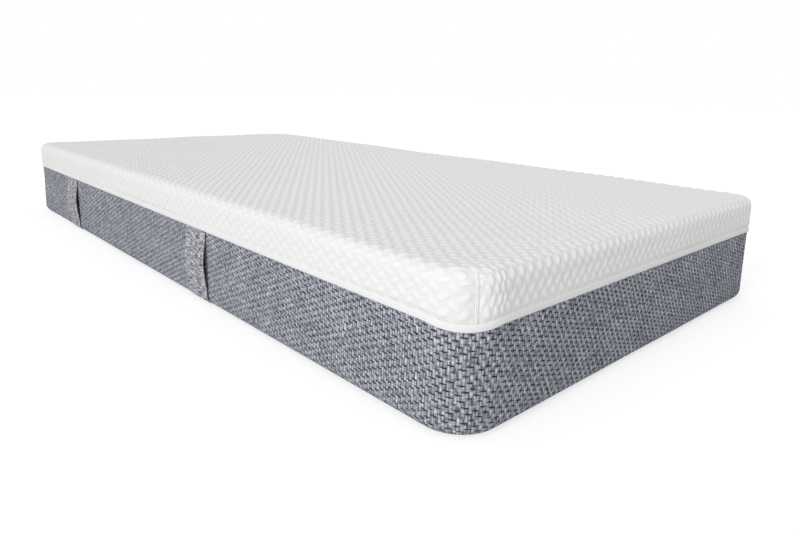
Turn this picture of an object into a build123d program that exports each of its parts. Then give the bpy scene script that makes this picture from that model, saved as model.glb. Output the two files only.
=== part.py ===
"""Memory foam mattress with a zip-off stretch-knit cover over a woven border.

Millimetres. The origin is the middle of the underside, +Z is up, the length runs along Y
with the foot end at -Y, and the width runs along X.
"""
import os

from build123d import *

os.makedirs("parts", exist_ok=True)

# Plan size over the faces of the woven border
mattress_width = 1000.0
mattress_length = 2000.0
corner_radius = 75.0
border_height = 158.0
bottom_radius = 22.0

# Foam layers, from the bottom up, with the glue between them
support_thick = 130.0
transition_thick = 40.0
memory_thick = 57.0
glue_thick = 0.3
foam_bottom_radius = 18.0

# Fabrics
panel_thick = 2.0
border_thick = 2.0
sock_thick = 0.8
cover_overhang = 2.0
cover_corner_radius = 75.0
top_radius = 22.0
sock_hem_height = 30.0

# Zip round the mattress, above the border
tape_thick = 1.0
tape_height = 14.0
coil_depth = 3.0
coil_height = 2.0
coil_gap = 2.0
border_to_coil = 2.0
coil_to_skirt = 4.0
flap_thick = 2.4

# Slider, its pull tab and the stops at the ends of its run along the head end
slider_run = 600.0
slider_length = 12.0
slider_height = 9.0
slider_plate = 1.5
slider_corner = 1.5
slider_post = 1.2
lug_width = 3.2
lug_height = 1.2
lug_reach = 2.9
pin_radius = 0.65
pin_reach = 1.7
eye_radius = 1.35
tab_thick = 1.2
neck_length = 6.0
grip_length = 24.0
grip_height = 8.8
grip_corner = 3.0
stop_length = 4.0

# Carrying straps down the border of both long sides
strap_width = 85.0
strap_thick = 2.5
strap_gap = 6.0
strap_tab = 12.0
foot_strap_y = -255.0
head_strap_y = 595.0

# Clearances
sewn_clear = 0.3
foam_clear = 0.3
lift_clear = 0.3
flap_clear = 0.6
coil_clear = 0.4
sock_clear = 0.6
pin_clear = 0.15

# Levels of the zip
lower_coil_low = border_height + border_to_coil
lower_coil_high = lower_coil_low + coil_height
upper_coil_low = lower_coil_high + coil_gap
upper_coil_high = upper_coil_low + coil_height
zip_middle = (lower_coil_high + upper_coil_low) / 2
skirt_low = upper_coil_high + coil_to_skirt

# Depths behind the face of the border, negative in front of it
tape_outer = border_thick
tape_inner = tape_outer + tape_thick
coil_outer = (tape_outer + tape_inner - coil_depth) / 2
coil_inner = coil_outer + coil_depth
slider_front = coil_outer - coil_clear - slider_plate
slider_back = coil_inner + coil_clear + slider_plate
pin_depth = slider_front - pin_reach
sock_outer = slider_back + sock_clear
sock_inner = sock_outer + sock_thick
foam_depth = sock_inner + foam_clear

# Levels of the foam layers and of what lies on them
support_top = panel_thick + support_thick
transition_low = support_top + glue_thick
transition_top = transition_low + transition_thick
memory_low = transition_top + glue_thick
memory_top = memory_low + memory_thick
sock_under = memory_top + foam_clear
sock_top = sock_under + sock_thick
cover_under = sock_top + lift_clear
knit_thick = cover_overhang + border_thick
cover_top = cover_under + knit_thick
knit_inner_radius = top_radius - knit_thick
foam_top_radius = knit_inner_radius - sock_thick


def outline(depth, face_radius=corner_radius, mode=Mode.ADD):
    """Plan outline of the mattress, drawn in by a depth behind the face of the border."""
    width = mattress_width - 2 * depth
    length = mattress_length - 2 * depth
    RectangleRounded(width, length, face_radius - depth, mode=mode)


def band_outline(outer_depth, inner_depth, face_radius=corner_radius):
    """Plan of a band that runs right round the mattress."""
    outline(outer_depth, face_radius)
    outline(inner_depth, face_radius, mode=Mode.SUBTRACT)


def rounded_block(depth, low, high, low_radius=0.0, high_radius=0.0, face_radius=corner_radius):
    """Block of the mattress plan with its bottom and top edges rounded."""
    with BuildPart() as block:
        with BuildSketch(Plane.XY.offset(low)):
            outline(depth, face_radius)
        extrude(amount=high - low)
        if low_radius > 0:
            fillet(block.edges().group_by(Axis.Z)[0], low_radius)
        if high_radius > 0:
            fillet(block.edges().group_by(Axis.Z)[-1], high_radius)
    return block.part


def keep(piece, name):
    """Label a finished piece and write it to its own file."""
    piece.label = name
    export_step(piece, f"parts/{name}.step")


# Woven border: a wall that rounds under the bottom edge to the base panel
border_outside = rounded_block(0, 0, border_height, bottom_radius)
border_inside = rounded_block(
    border_thick, border_thick, border_height, bottom_radius - border_thick
)
with BuildPart() as base_border:
    add(border_outside)
    add(border_inside, mode=Mode.SUBTRACT)
    with BuildSketch():
        outline(bottom_radius)
    extrude(amount=border_height, mode=Mode.SUBTRACT)
keep(base_border.part, "base_border")

# Base panel: flat underside fabric, sewn into the inner edge of the border
with BuildPart() as base_panel:
    with BuildSketch():
        outline(bottom_radius)
    extrude(amount=panel_thick)
keep(base_panel.part, "base_panel")

# Support core: the firm foam that carries the upper layers
support_block = rounded_block(foam_depth, panel_thick, support_top, foam_bottom_radius)
with BuildPart() as support_core:
    add(support_block)
keep(support_core.part, "support_core")

# Glue under the transition foam
with BuildPart() as lower_glue_film:
    with BuildSketch(Plane.XY.offset(support_top)):
        outline(foam_depth)
    extrude(amount=glue_thick)
keep(lower_glue_film.part, "lower_glue_film")

# Transition foam
with BuildPart() as transition_foam:
    with BuildSketch(Plane.XY.offset(transition_low)):
        outline(foam_depth)
    extrude(amount=transition_thick)
keep(transition_foam.part, "transition_foam")

# Glue under the memory foam
with BuildPart() as upper_glue_film:
    with BuildSketch(Plane.XY.offset(transition_top)):
        outline(foam_depth)
    extrude(amount=glue_thick)
keep(upper_glue_film.part, "upper_glue_film")

# Memory foam, with its top edges eased
memory_block = rounded_block(foam_depth, memory_low, memory_top, 0, foam_top_radius - sock_thick)
with BuildPart() as memory_foam:
    add(memory_block)
keep(memory_foam.part, "memory_foam")

# Inner sock: a thin knitted liner over the top and sides of the foam
sock_outside = rounded_block(sock_outer, sock_hem_height, sock_top, 0, foam_top_radius)
sock_inside = rounded_block(
    sock_inner, sock_hem_height, sock_under, 0, foam_top_radius - sock_thick
)
with BuildPart() as inner_sock:
    add(sock_outside)
    add(sock_inside, mode=Mode.SUBTRACT)
keep(inner_sock.part, "inner_sock")

# Lower half of the zip: its tape inside the border and its coil above the border
with BuildPart() as lower_zip_tape:
    with BuildSketch(Plane.XY.offset(lower_coil_low - tape_height)):
        band_outline(tape_outer, tape_inner)
    extrude(amount=tape_height)
keep(lower_zip_tape.part, "lower_zip_tape")

with BuildPart() as lower_zip_coil:
    with BuildSketch(Plane.XY.offset(lower_coil_low)):
        band_outline(coil_outer, coil_inner)
    extrude(amount=coil_height)
keep(lower_zip_coil.part, "lower_zip_coil")

# Upper half of the zip, on the cover
with BuildPart() as upper_zip_coil:
    with BuildSketch(Plane.XY.offset(upper_coil_low)):
        band_outline(coil_outer, coil_inner)
    extrude(amount=coil_height)
keep(upper_zip_coil.part, "upper_zip_coil")

with BuildPart() as upper_zip_tape:
    with BuildSketch(Plane.XY.offset(upper_coil_high)):
        band_outline(tape_outer, tape_inner)
    extrude(amount=tape_height)
keep(upper_zip_tape.part, "upper_zip_tape")

# Knit cover: one padded panel over the top, with skirts down to the zip and full corners
cover_face_radius = cover_corner_radius - cover_overhang
cover_outside = rounded_block(
    -cover_overhang, skirt_low, cover_top, 0, top_radius, cover_face_radius
)
cover_inside = rounded_block(border_thick, skirt_low, cover_under, 0, knit_inner_radius)
with BuildPart() as knit_cover:
    add(cover_outside)
    add(cover_inside, mode=Mode.SUBTRACT)
keep(knit_cover.part, "knit_cover")

# Zip flap: the smooth band that hides the zip, left off the straight of the head end
flap_low = border_height + flap_clear
flap_inner = flap_thick - cover_overhang
head_straight = mattress_width - 2 * corner_radius
with BuildPart() as zip_flap:
    with BuildSketch(Plane.XY.offset(flap_low)):
        band_outline(-cover_overhang, flap_inner, cover_face_radius)
        with Locations((0, mattress_length / 2)):
            Rectangle(head_straight, 2 * corner_radius, mode=Mode.SUBTRACT)
    extrude(amount=skirt_low - flap_low)
keep(zip_flap.part, "zip_flap")

# Stops on the lower coil at both ends of the slider's run
head_face = mattress_length / 2
stop_middle = (slider_run + slider_length + stop_length) / 2 + coil_clear
stop_depth = coil_outer - slider_front - coil_clear
with BuildPart() as zip_stops:
    with Locations((0, head_face - coil_outer + stop_depth / 2, lower_coil_low + coil_height / 2)):
        with GridLocations(2 * stop_middle, 1, 2, 1):
            Box(stop_length, stop_depth, coil_height)
keep(zip_stops.part, "zip_stops")

# Slider: two plates over the coils, joined by a post between them, with lugs and a pin
slider_x = slider_run / 2
slider_depth = slider_back - slider_front
post_depth = slider_depth - slider_plate
lug_middle = slider_front - lug_reach / 2 + slider_plate / 4
lug_depth = lug_reach + slider_plate / 2
pin_height = slider_height - slider_corner
with BuildPart() as zip_slider:
    with Locations((slider_x, head_face - slider_front - slider_plate / 2, zip_middle)):
        Box(slider_length, slider_plate, slider_height)
    with Locations((slider_x, head_face - slider_back + slider_plate / 2, zip_middle)):
        Box(slider_length, slider_plate, slider_height)
    fillet(zip_slider.edges().filter_by(Axis.Y), slider_corner)
    with Locations((slider_x, head_face - (slider_front + slider_back) / 2, zip_middle)):
        Box(slider_length / 2, post_depth, slider_post)
    with Locations((slider_x, head_face - lug_middle, zip_middle)):
        Box(lug_width, lug_depth, pin_height)
        Box(lug_width, lug_depth, pin_height - 2 * lug_height, mode=Mode.SUBTRACT)
    with Locations((slider_x, head_face - pin_depth, zip_middle)):
        Cylinder(pin_radius, pin_height)
keep(zip_slider.part, "zip_slider")

# Pull tab: an eye round the slider's pin, a neck between the lugs and a flat grip
eye_height = pin_height - 2 * lug_height - 2 * coil_clear
tab_plane = Plane(
    origin=(slider_x, head_face - pin_depth, zip_middle), x_dir=(1, 0, 0), z_dir=(0, -1, 0)
)
with BuildPart() as zip_pull_tab:
    with BuildSketch(tab_plane):
        with Locations((neck_length / 2, 0)):
            Rectangle(neck_length, eye_height)
        with Locations((neck_length + grip_length / 2 - grip_corner / 2, 0)):
            RectangleRounded(grip_length, grip_height, grip_corner)
    extrude(amount=tab_thick / 2, both=True)
    with Locations((slider_x, head_face - pin_depth, zip_middle)):
        Cylinder(eye_radius, eye_height)
        Cylinder(pin_radius + pin_clear, eye_height, mode=Mode.SUBTRACT)
keep(zip_pull_tab.part, "zip_pull_tab")

# Carrying straps: sewn flat at both ends and bowed out between them
strap_low = bottom_radius
strap_high = border_height
strap_middle = (strap_low + strap_high) / 2
strap_outer = sewn_clear + strap_thick
strap_places = [("left", -1), ("right", 1)]
strap_ends = [("foot", foot_strap_y), ("head", head_strap_y)]
for side_name, side in strap_places:
    for end_name, strap_y in strap_ends:
        strap_plane = Plane(
            origin=(side * mattress_width / 2, strap_y, 0), x_dir=(side, 0, 0), z_dir=(0, -side, 0)
        )
        with BuildPart() as handle_strap:
            with BuildSketch(strap_plane):
                with BuildLine():
                    Line((sewn_clear, strap_low), (sewn_clear, strap_low + strap_tab))
                    ThreePointArc(
                        (sewn_clear, strap_low + strap_tab),
                        (sewn_clear + strap_gap, strap_middle),
                        (sewn_clear, strap_high - strap_tab),
                    )
                    Polyline(
                        (sewn_clear, strap_high - strap_tab),
                        (sewn_clear, strap_high),
                        (strap_outer, strap_high),
                        (strap_outer, strap_high - strap_tab),
                    )
                    ThreePointArc(
                        (strap_outer, strap_high - strap_tab),
                        (strap_outer + strap_gap, strap_middle),
                        (strap_outer, strap_low + strap_tab),
                    )
                    Polyline(
                        (strap_outer, strap_low + strap_tab),
                        (strap_outer, strap_low),
                        (sewn_clear, strap_low),
                    )
                make_face()
            extrude(amount=strap_width / 2, both=True)
        keep(handle_strap.part, f"{side_name}_{end_name}_strap")

print(f"height {cover_top:.1f} mm, zip line at {zip_middle:.1f} mm, flap from {flap_low:.1f} mm")
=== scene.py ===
# %% [markdown]
# A memory foam mattress, dressed in its fabrics.
#
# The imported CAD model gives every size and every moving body. This lesson lays the real cloths over it:
# a white blister knit on top, a smooth white zip flap, a grey woven border, carrying straps and a zip.
# The sizes could be typed in again, but then a change to the model would leave the cloths behind, so they
# are read from the boxes of the CAD pieces.

# %% Load the frame
import math

import bpy
import numpy as np
from mathutils import Matrix, Vector


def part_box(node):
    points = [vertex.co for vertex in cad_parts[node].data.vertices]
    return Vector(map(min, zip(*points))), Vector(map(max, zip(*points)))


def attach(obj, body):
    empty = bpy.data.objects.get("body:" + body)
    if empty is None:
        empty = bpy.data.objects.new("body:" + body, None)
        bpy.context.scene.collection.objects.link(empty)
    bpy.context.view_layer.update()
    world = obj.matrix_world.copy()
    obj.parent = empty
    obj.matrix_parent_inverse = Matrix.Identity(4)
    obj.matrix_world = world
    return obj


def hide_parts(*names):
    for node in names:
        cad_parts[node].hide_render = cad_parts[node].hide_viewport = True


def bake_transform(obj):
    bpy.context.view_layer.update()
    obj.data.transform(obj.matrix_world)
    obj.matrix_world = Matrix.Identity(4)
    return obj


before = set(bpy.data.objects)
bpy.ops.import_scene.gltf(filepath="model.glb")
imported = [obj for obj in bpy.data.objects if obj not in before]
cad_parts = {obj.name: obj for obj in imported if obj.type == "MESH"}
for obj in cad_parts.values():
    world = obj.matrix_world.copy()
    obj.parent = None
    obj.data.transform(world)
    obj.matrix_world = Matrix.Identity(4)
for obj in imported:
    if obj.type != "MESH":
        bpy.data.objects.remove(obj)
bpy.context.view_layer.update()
scene = bpy.context.scene
_, border_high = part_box("base_border")
cover_low, cover_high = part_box("knit_cover")
flap_low, flap_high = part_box("zip_flap")

# %% [markdown]
# The camera stands near the foot end's left corner, a little above the mattress, and looks along it.
# Its place and lens were worked out from the straight edges of the photograph, so the corner looms large
# and the far end shrinks. A wide lens close by gives that; a long lens from far off would not. The upright
# edges in the photograph stay almost upright, so the lens is lowered a little instead of tilting more.

# %% Camera
PHOTO_WIDTH = 793
CAMERA_PLACE = Vector((-1.056, -1.4726, 0.4606))
CAMERA_YAW = math.radians(42.63)
CAMERA_PITCH = math.radians(10.96)
CAMERA_ROLL = math.radians(1.3)
FOCAL_PIXELS = 627.8
LENS_DROP_PIXELS = 60
SENSOR_WIDTH = 36.0

camera_data = bpy.data.cameras.new("photo_camera")
camera_data.sensor_width = SENSOR_WIDTH
camera_data.lens = FOCAL_PIXELS * SENSOR_WIDTH / PHOTO_WIDTH
camera_data.shift_y = -LENS_DROP_PIXELS / PHOTO_WIDTH
camera = bpy.data.objects.new("photo_camera", camera_data)
camera.matrix_world = (Matrix.Translation(CAMERA_PLACE) @ Matrix.Rotation(-CAMERA_YAW, 4, "Z")
                       @ Matrix.Rotation(math.pi / 2 - CAMERA_PITCH, 4, "X")
                       @ Matrix.Rotation(CAMERA_ROLL, 4, "Z"))
scene.collection.objects.link(camera)
scene.camera = camera
print("lens in millimetres:", round(camera_data.lens, 2))

# %% [markdown]
# Every cloth here is drawn by nodes in metres of cloth, not in picture pixels, so a weave keeps its real
# repeat on every piece. A picture of cloth could be wrapped on instead, but it would blur close up and show
# its tiles. A small helper keeps the wiring short: it makes a node, joins its inputs and hands back the
# output. It wires the sky and the floor as well. The same cloth metres are stored on each mesh as a UV layer
# named "cloth".

# %% Recipe helper


def tone(red, green, blue):
    """A colour given as 0 to 255 screen values, in the linear values that shaders use."""
    level = [x / 255 for x in (red, green, blue)]
    return tuple(x / 12.92 if x < 0.04045 else ((x + 0.055) / 1.055) ** 2.4 for x in level) + (1.0,)


class Wiring:
    """Short hand for wiring the nodes of a sky or a material."""

    def __init__(self, owner):
        owner.use_nodes = True
        self.nodes = owner.node_tree.nodes
        self.links = owner.node_tree.links

    def join(self, socket, value):
        if isinstance(value, bpy.types.NodeSocket):
            self.links.new(value, socket)
        else:
            socket.default_value = value

    def make(self, kind, inputs, **settings):
        """A node with its settings, and its inputs joined or set by name or number."""
        made = self.nodes.new("ShaderNode" + kind)
        for name, value in settings.items():
            setattr(made, name, value)
        for socket, value in inputs.items():
            self.join(made.inputs[socket], value)
        return made

    def math(self, operation, *values):
        return self.make("Math", dict(enumerate(values)), operation=operation).outputs[0]

    def add(self, first, second):
        return self.math("ADD", first, second)

    def less(self, first, second):
        return self.math("SUBTRACT", first, second)

    def times(self, first, second):
        return self.math("MULTIPLY", first, second)

    def size(self, value):
        """The value without its sign."""
        return self.math("ABSOLUTE", value)

    def ripple(self, value, pitch):
        """A wave from -1 to 1 that comes back after each pitch."""
        return self.math("SINE", self.times(value, 2 * math.pi / pitch))

    def cloth(self):
        """Across and along the cloth, in metres."""
        layer = self.make("UVMap", {}, uv_map="cloth")
        parts = self.make("SeparateXYZ", {0: layer.outputs[0]})
        self.across, self.along = parts.outputs[0], parts.outputs[1]
        return self.across, self.along

    def pair(self, across, along, third=0.0):
        return self.make("CombineXYZ", {0: across, 1: along, 2: third}).outputs[0]

    def noise(self, vector, detail=2.0, roughness=0.5, scale=1.0):
        inputs = {"Vector": vector, "Scale": scale, "Detail": detail, "Roughness": roughness}
        return self.make("TexNoise", inputs).outputs["Fac"]

    def grain(self, across_count, along_count, detail=2.0, roughness=0.5, third=0.0):
        """Noise with so many grains to a metre across and along the cloth."""
        place = self.pair(self.times(self.across, across_count), self.times(self.along, along_count), third)
        return self.noise(place, detail, roughness)

    def chance(self, vector):
        """A steady random number for each whole-numbered place."""
        return self.make("TexWhiteNoise", {"Vector": vector}, noise_dimensions="2D").outputs["Value"]

    def ease(self, value, low, high, start=0.0, end=1.0):
        """A smooth step from start to end as the value goes from low to high."""
        inputs = {"Value": value, "From Min": low, "From Max": high, "To Min": start, "To Max": end}
        return self.make("MapRange", inputs, interpolation_type="SMOOTHSTEP").outputs[0]

    def mix(self, share, first, second):
        return self.make("Mix", {0: share, 6: first, 7: second}, data_type="RGBA").outputs[2]

    def shades(self, value, stops):
        """A colour for each value, from stops of a place and a screen colour."""
        made = self.make("ValToRGB", {0: value})
        ramp = made.color_ramp.elements
        while len(ramp) < len(stops):
            ramp.new(1.0)
        for element, (place, colour) in zip(ramp, stops):
            element.position = place
            element.color = tone(*colour)
        return made.outputs[0]

    def straight_look(self):
        """1 for rays that show a thing itself, also in metal or through glass, and 0 for rays that light."""
        path = self.make("LightPath", {})
        seen = self.math("MAXIMUM", path.outputs["Is Camera Ray"], path.outputs["Is Glossy Ray"])
        return self.math("MAXIMUM", seen, path.outputs["Is Transmission Ray"])


class Recipe(Wiring):
    """One material, wired to its shader."""

    def __init__(self, name, roughness, sheen=0.0, shine=0.25):
        self.material = bpy.data.materials.new(name)
        super().__init__(self.material)
        self.shader = self.nodes["Principled BSDF"]
        self.shader.inputs["Roughness"].default_value = roughness
        self.shader.inputs["Sheen Weight"].default_value = sheen
        self.shader.inputs["Specular IOR Level"].default_value = shine

    def bump(self, height, depth):
        made = self.make("Bump", {"Strength": 1.0, "Distance": depth, "Height": height})
        self.join(self.shader.inputs["Normal"], made.outputs[0])

    def colour(self, value):
        self.join(self.shader.inputs["Base Color"], value)


print("screen grey 128 in linear light:", round(tone(128, 128, 128)[0], 3))

# %% [markdown]
# This is a product shot on white. A soft daylight lights the whole long side evenly, near and far. A soft
# box on the left adds a little at the near corner, a weaker one behind lights the sides that the photograph
# doesn't show, and the sky fills the rest. Soft boxes alone could do it, but a lamp that stands close by
# fades along the mattress much more than the photograph does.

# %% Lamps and sky
SKY_STRENGTH = 0.62
DAYLIGHT_STRENGTH = 0.84
DAYLIGHT_SOFTNESS = math.radians(20)
DAYLIGHT_HEADING = Vector((0.8, 0.06, -0.4))


def lamp(name, kind, power, heading):
    """A lamp that shines along a heading."""
    data = bpy.data.lights.new(name, kind)
    data.energy = power
    made = bpy.data.objects.new(name, data)
    made.rotation_euler = heading.to_track_quat("-Z", "Y").to_euler()
    scene.collection.objects.link(made)
    return made


def soft_box(name, place, target, size, watts):
    """A square lamp that looks at a point."""
    made = lamp(name, "AREA", watts, Vector(target) - Vector(place))
    made.location = place
    made.data.size = size


scene.view_settings.view_transform = "Standard"
world = bpy.data.worlds.new("studio_white")
scene.world = world
sky = Wiring(world)
sky_level = sky.make("MapRange", {"Value": sky.straight_look(), "To Min": SKY_STRENGTH, "To Max": 1.0})
sky.join(sky.nodes["Background"].inputs["Color"], (1, 1, 1, 1))
sky.join(sky.nodes["Background"].inputs["Strength"], sky_level.outputs[0])

soft_box("left_soft_box", place=(-2.6, -2.0, 0.8), target=(-0.4, -0.6, 0.1), size=1.8, watts=15)
soft_box("head_fill", place=(3.0, 2.4, 0.7), target=(0.4, 0.6, 0.1), size=2.0, watts=10)
daylight = lamp("even_daylight", "SUN", DAYLIGHT_STRENGTH, DAYLIGHT_HEADING)
daylight.data.angle = DAYLIGHT_SOFTNESS

# %% [markdown]
# The ground in the photograph is white, with a soft shadow close to the mattress. A floor lit until it is
# white would also throw too much light up at the cloth. So the floor is plain matt paint, which keeps the
# shadow, mixed with a glow that is seen but hardly lights the cloth.

# %% Floor
FLOOR_SIZE = 40.0
FLOOR_GREY = 0.72
FLOOR_ROUGHNESS = 0.9
FLOOR_GLOW = 0.25
FLOOR_GLOW_LEVEL = 2.55

bpy.ops.mesh.primitive_plane_add(size=FLOOR_SIZE)
floor = bpy.context.object
floor.name = "studio_floor"
paint = Recipe("floor_white", FLOOR_ROUGHNESS, shine=0.0)
paint.colour((FLOOR_GREY, FLOOR_GREY, FLOOR_GREY, 1))
glow = paint.make("Emission", {"Strength": FLOOR_GLOW_LEVEL})
glow_share = paint.times(paint.straight_look(), FLOOR_GLOW)
floor_mix = paint.make("MixShader", {"Fac": glow_share, 1: paint.shader.outputs[0], 2: glow.outputs[0]})
paint.join(paint.nodes["Material Output"].inputs["Surface"], floor_mix.outputs[0])
floor.data.materials.append(paint.material)
print("floor in metres:", [round(x, 1) for x in floor.dimensions])

# %% [markdown]
# The border is a coarse satin-laid cloth: thick pale upright yarns float over four rows and dive under the
# fifth, and each dive shows as a short dash, coloured near black partly as painted shade in the gap. Each row
# up, the dashes step two yarns to the right, which makes the slanting lines seen across the border. From the
# right end of each dash a fainter tail runs down two rows. The photograph shows about 26 mm from dash to
# dash. Every fibre could be modelled, but that would take millions of faces, so nodes draw the yarns, with
# painted shade between them, and the mesh adds their relief.

# %% Border weave
WEAVE_YARNS = 5
WEAVE_STEP = 2
WEAVE_ROW = 0.00443
WEAVE_REPEAT_AIM = 0.0258
WEAVE_BUMP = 0.0014
STRAY_GRAINS = 300
STRAY_WIDTH = 0.0024
STRAY_UPRIGHT = 0.4
DASH_SHARE = 0.4
DASH_SLOPE = 0.9
DASH_ENDS = (0.1, 0.2)
DASH_EDGES = (0.14, 0.32)
DASH_LUCK = 0.05
DASH_FAINTEST = 0.65
# Painted shade in the dash gaps: the dashes and their tails are coloured near black, over the weave's
# pattern.
DASH_AND_SHADE_DARK = 0.96
DASH_AND_SHADE_TONE = (27, 31, 41)
TAIL_PLACE = 0.16
TAIL_EDGES = (0.03, 0.06)
TAIL_DEPTH = 0.55
# Painted shade: where each yarn sinks beside the next, its edges are coloured darker.
YARN_GAP_PAINTED_SHADE = 0.55
YARN_GAP_SHADE_TONE = (58, 63, 75)
HEATHER = ((0.32, (66, 70, 82)), (0.44, (140, 143, 155)), (0.54, (200, 203, 213)), (0.66, (248, 248, 252)))


def weave_dashes(r, turns, row):
    """How far each spot of the weave lies in a dash or its tail, from 0 to 1."""
    row_number = r.math("FLOOR", row)
    place = r.less(turns, r.times(row_number, WEAVE_STEP / WEAVE_YARNS))
    luck = r.chance(r.pair(r.math("FLOOR", place), row_number))
    beside = r.less(r.math("FRACT", place), DASH_SHARE / 2)
    above = r.add(r.less(r.math("FRACT", row), 0.5), r.times(beside, DASH_SLOPE))
    reach = r.less(r.size(beside), r.times(luck, DASH_LUCK))
    dash = r.times(r.ease(reach, *DASH_ENDS, 1, 0), r.ease(r.size(above), *DASH_EDGES, 1, 0))
    dash = r.times(dash, r.ease(luck, 0.0, 0.4, DASH_FAINTEST, 1.0))
    for rows_down in (1, 2):
        before = r.math("FRACT", r.less(place, rows_down * WEAVE_STEP / WEAVE_YARNS))
        off_end = r.size(r.less(before, DASH_SHARE / 2 + TAIL_PLACE))
        dash = r.math("MAXIMUM", dash, r.ease(off_end, *TAIL_EDGES, TAIL_DEPTH, 0))
    return dash


def border_weave(name, repeat):
    """Heathered blue-grey satin weave with dark dashes, painted shade between the yarns and in the dash gaps.
    """
    r = Recipe(name, roughness=0.9)
    across, along = r.cloth()
    drift = r.times(r.less(r.grain(STRAY_GRAINS, STRAY_GRAINS), 0.5), STRAY_WIDTH)
    turns = r.math("DIVIDE", r.add(across, drift), repeat)
    upright = r.less(along, r.times(drift, STRAY_UPRIGHT))
    dash = weave_dashes(r, turns, r.math("DIVIDE", upright, WEAVE_ROW))
    yarns = r.times(turns, WEAVE_YARNS)
    yarn_number = r.math("FLOOR", yarns)
    off_middle = r.size(r.less(r.times(r.math("FRACT", yarns), 2), 1))
    crown = r.less(1.0, r.math("POWER", off_middle, 3.0))
    streak = r.grain(760, 110, 3.0, 0.7, third=r.times(yarn_number, 3.7))
    slub = r.noise(r.pair(r.times(yarn_number, 5.3), r.times(along, 150)), 2.0, 0.6)
    patch = r.grain(16, 16, 3.0, 0.6)
    mixed = r.add(r.times(streak, 0.62), r.times(slub, 0.38))
    mixed = r.add(mixed, r.times(r.less(patch, 0.5), 0.1))
    # Painted shade between the yarns: the floats darken towards each yarn's edges.
    floats = r.mix(r.times(r.less(1.0, crown), YARN_GAP_PAINTED_SHADE), r.shades(mixed, HEATHER), tone(*YARN_GAP_SHADE_TONE))
    # The dashes and tails are the weave's pattern, darkened further as painted shade in their gaps.
    r.colour(r.mix(r.times(dash, DASH_AND_SHADE_DARK), floats, tone(*DASH_AND_SHADE_TONE)))
    height = r.add(r.times(crown, 0.5), r.times(streak, 0.6))
    r.bump(r.less(height, r.times(dash, 0.9)), WEAVE_BUMP)
    return r.material


print("dashes to a metre of cloth:", round(1 / WEAVE_REPEAT_AIM, 1))

# %% [markdown]
# The cover is a double knit whose face puffs up in oval blisters over a filling yarn. Rows of blisters lean
# left and right in turn, like a braid. A bump in the material could stand for them, but it would leave the
# outline smooth, so the blisters themselves are modelled further down. The nodes here add what is too fine
# for the mesh: the tight ground between them, coloured darker as painted shade in the hollows, and the ribs
# of the knitted loops.

# %% Blister knit
BLISTER_CELL = (0.021, 0.029)
BLISTER_HALF = (0.0053, 0.0104)
BLISTER_LEAN = math.radians(28)
BLISTER_ROWS = ((0.0, BLISTER_LEAN), (0.5, -BLISTER_LEAN))
BLISTER_CROWN = 0.25
BLISTER_FOOT = 1.15
LOOP_PITCH = 0.0011
COURSE_PITCH = 0.8 * LOOP_PITCH
KNIT_BUMP = 0.0005


def knit_white(name):
    """White stretch knit with leaning oval blisters."""
    r = Recipe(name, roughness=0.88, sheen=0.08)
    across, along = r.cloth()
    rise = None
    for offset, lean in BLISTER_ROWS:
        cell = []
        for value, size in zip((across, along), BLISTER_CELL):
            place = r.math("FRACT", r.add(r.math("DIVIDE", value, size), 0.5 + offset))
            cell.append(r.times(r.less(place, 0.5), size))
        wide = r.add(r.times(cell[0], math.cos(lean)), r.times(cell[1], math.sin(lean)))
        tall = r.less(r.times(cell[1], math.cos(lean)), r.times(cell[0], math.sin(lean)))
        wide, tall = [r.math("POWER", r.size(r.math("DIVIDE", value, half)), 2.0)
                      for value, half in zip((wide, tall), BLISTER_HALF)]
        puff = r.ease(r.add(wide, tall), BLISTER_CROWN, BLISTER_FOOT, 1, 0)
        rise = puff if rise is None else r.math("MAXIMUM", rise, puff)
    loops = r.add(r.ripple(across, LOOP_PITCH), r.ripple(along, COURSE_PITCH))
    fuzz = r.grain(900, 900)
    shade = r.add(rise, r.times(r.less(fuzz, 0.5), 0.3))
    # Painted shade: the ground between the blisters is coloured darker than their crowns.
    r.colour(r.mix(shade, tone(241, 241, 239), tone(246, 246, 245)))
    r.bump(r.add(r.add(rise, r.times(loops, 0.04)), r.times(fuzz, 0.12)), KNIT_BUMP)
    return r.material


print("blister in millimetres:", [round(2000 * half, 1) for half in BLISTER_HALF])

# %% [markdown]
# The other finishes are plainer: a smooth white tape, a fine white liner, webbing for the straps, a dark
# base cloth, three foams with open cells, nylon and lacquered metal for the zip, and sewing thread. Flat
# colours would do from far off, but up close they look like paint, so each has its own fine ribs or grain.

# %% Cloth finishes
WEBBING_RIB = 0.0042
WEBBING_PICK = 0.0046
WEBBING = ((0.39, (54, 57, 68)), (0.47, (124, 126, 136)), (0.53, (192, 191, 198)), (0.6, (255, 253, 255)))
BASE_YARN = 0.0016
LINER_WALE = 0.0024
LINER_COURSE = 0.0021


def ribbed_tape(name, pale, dark, rib):
    """Tape with fine ribs along its length and a little herringbone shading."""
    r = Recipe(name, roughness=0.8, sheen=0.06)
    across, along = r.cloth()
    slant = r.ripple(r.add(across, along), 1.6 * rib)
    weave = r.times(r.add(r.ripple(along, rib), slant), 0.25)
    fuzz = r.grain(260, 600)
    r.colour(r.mix(r.add(r.times(weave, 0.5), fuzz), dark, pale))
    r.bump(r.add(weave, r.times(fuzz, 0.5)), 0.0003)
    return r.material


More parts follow.
